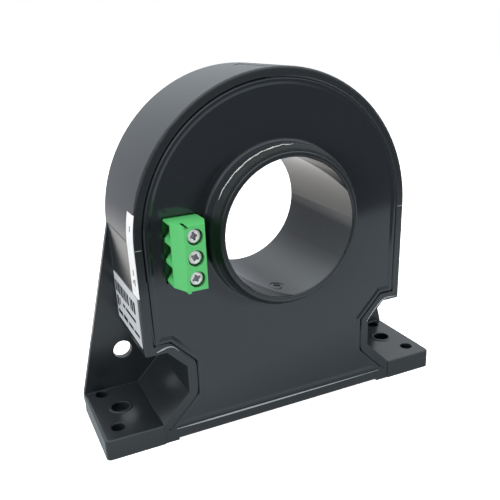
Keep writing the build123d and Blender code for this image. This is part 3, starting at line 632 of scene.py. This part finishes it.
# Each point runs flat along the wall, then round the front edge, and rises up the barrel.
for vertex in seal.data.vertices:
    height = seal_low + (seal_high - seal_low) * (vertex.co.x + 1) / 2
    run = (flat_run + bend_run + fold) * (vertex.co.y + 1) / 2
    bend = min(max((run - flat_run) / edge_radius, 0), pi / 2)
    inwards = edge_radius - (edge_radius + paper_lift) * cos(bend)
    inwards += max(run - flat_run - bend_run, 0)
    depth = seal_back - min(run, flat_run) - (edge_radius + paper_lift) * sin(bend)
    reach = barrel_radius - inwards
    rise = max(height - axis_height, 0) / barrel_radius
    lean = wall_lean * max(axis_height - height, 0)
    vertex.co = Vector((lean - reach * cos(rise), depth,
                        min(height, axis_height) + reach * sin(rise))) * MM
bpy.ops.object.mode_set(mode="EDIT")
bpy.ops.mesh.select_all(action="SELECT")
bpy.ops.mesh.normals_make_consistent(inside=False)
bpy.ops.object.mode_set(mode="OBJECT")
apply_modifier(seal, "SOLIDIFY", thickness=paper_thickness * MM, offset=0)
seat(seal, "paper_seal", paper_seal, "root")
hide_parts("seal_sticker")
# Rubbed ink: a thin uneven grey, dry like the paper that it lies on.
rubbed = moulded_plastic("rubbed_ink", "#6c6e72", "#8e9093", 0.8, 0.01 * MM, 0.3 * MM, 0.01 * MM,
                         reflectance=0.1)
mark_places = [(-12.3, 57.4, 58.8), (-12.4, 46.6, 48.2), (-12.9, 44.1, 45.9),
               (-11.8, 44.6, 45.4)]
mark_lift, mark_sway, mark_knots = 0.13, 0.3, 7
for number, (depth, low, high) in enumerate(mark_places, 1):
    marks = []
    for k in range(mark_knots):
        height = low + (high - low) * k / (mark_knots - 1)
        reach = (barrel_radius ** 2 - max(height - axis_height, 0) ** 2) ** 0.5 + mark_lift
        marks.append((wall_lean * max(axis_height - height, 0) - reach,
                      depth + mark_sway * sin(2.4 * k + number), height))
    seat(drawn_strand(marks, [0.2 + 0.16 * (k % 3) for k in range(mark_knots)]),
         f"rubbed_mark_{number}", rubbed, "root")


# Inner parts, closed in by the housing and the cover. A ring core of wound steel strip lies
# in a two part nylon former, the Hall element stands in its gap, and the board carries the
# amplifier and its parts, held by their leads.
# Wound strip: a dull steel grey. Natural nylon: a warm milky white with a soft sheen.
dress(["core_ring"], plated_metal("wound_strip", "#6d6e72", 0.45))
dress(["former_front", "former_back"], moulded_plastic(
    "natural_nylon", "#d5d0c2", "#ded9cd", 0.45, 0.2 * MM, 0.5 * MM, 0.01 * MM))
# Enamelled wire: a clear brown copper shine.
enamelled = plated_metal("enamelled_wire", "#b5622c", 0.3)
dress(["winding_lead_1", "winding_lead_2"], enamelled)
# Solder resist: a smooth dark green lacquer. Package epoxy: a dry dark grey.
dress(["circuit_board"], moulded_plastic("solder_resist", "#12502c", "#176337", 0.3,
                                         0.05 * MM, 0.3 * MM, 0.01 * MM))
pairs = (1, 2)
dress(["hall_element", "amplifier_chip"] + [f"power_transistor_{n}" for n in pairs],
      moulded_plastic("package_epoxy", "#1b1b1d", "#242426", 0.5,
                      0.05 * MM, 0.2 * MM, 0.01 * MM))
# Shrunk sleeve: a glossy blue black film. Blue lacquer and diode epoxy shine a little.
dress([f"capacitor_{n}" for n in pairs], moulded_plastic(
    "shrunk_sleeve", "#14161f", "#1c1f2b", 0.25, 0.1 * MM, 0.4 * MM, 0.01 * MM))
dress([f"burden_resistor_{n}" for n in pairs], moulded_plastic(
    "blue_lacquer", "#3f77a6", "#4f8ab8", 0.3, 0.05 * MM, 0.3 * MM, 0.01 * MM))
dress([f"protection_diode_{n}" for n in pairs], moulded_plastic(
    "diode_epoxy", "#19191a", "#222223", 0.35, 0.05 * MM, 0.3 * MM, 0.01 * MM))


# Secondary winding: enamelled copper wire, wound side by side round the nylon former.
# It starts and ends beside the core's gap, and each turn leans a little to the next.
# The wire is drawn thicker than a real one, in fewer turns, so that each turn shows.
coil_turns, coil_start, coil_sweep = 112, radians(279), radians(342)
wire_width, wire_inset = 1.1, 0.6
winding_inner, winding_outer = 20.85, 31.95
winding_front, winding_back = -7.65, 9.3
coil_inner, coil_outer = winding_inner + wire_inset, winding_outer - wire_inset
coil_front, coil_back = winding_front + wire_inset, winding_back - wire_inset
corner_run = 0.9
around_former = []
for (radius_a, depth_a), (radius_b, depth_b) in (
        ((coil_inner, coil_front), (coil_outer, coil_front)),
        ((coil_outer, coil_front), (coil_outer, coil_back)),
        ((coil_outer, coil_back), (coil_inner, coil_back)),
        ((coil_inner, coil_back), (coil_inner, coil_front))):
    side = abs(radius_b - radius_a) + abs(depth_b - depth_a)
    for run in (0, corner_run, side - corner_run):
        around_former.append((radius_a + (radius_b - radius_a) * run / side,
                              depth_a + (depth_b - depth_a) * run / side))
wire_path = []
for step in range(coil_turns * len(around_former)):
    radius, depth = around_former[step % len(around_former)]
    angle = coil_start + coil_sweep * step / (coil_turns * len(around_former))
    wire_path.append((radius * cos(angle), depth, axis_height + radius * sin(angle)))
wound_wire = drawn_strand(wire_path, [wire_width] * len(wire_path))
seat(wound_wire, "wound_wire", enamelled, "root")
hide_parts("secondary_winding")
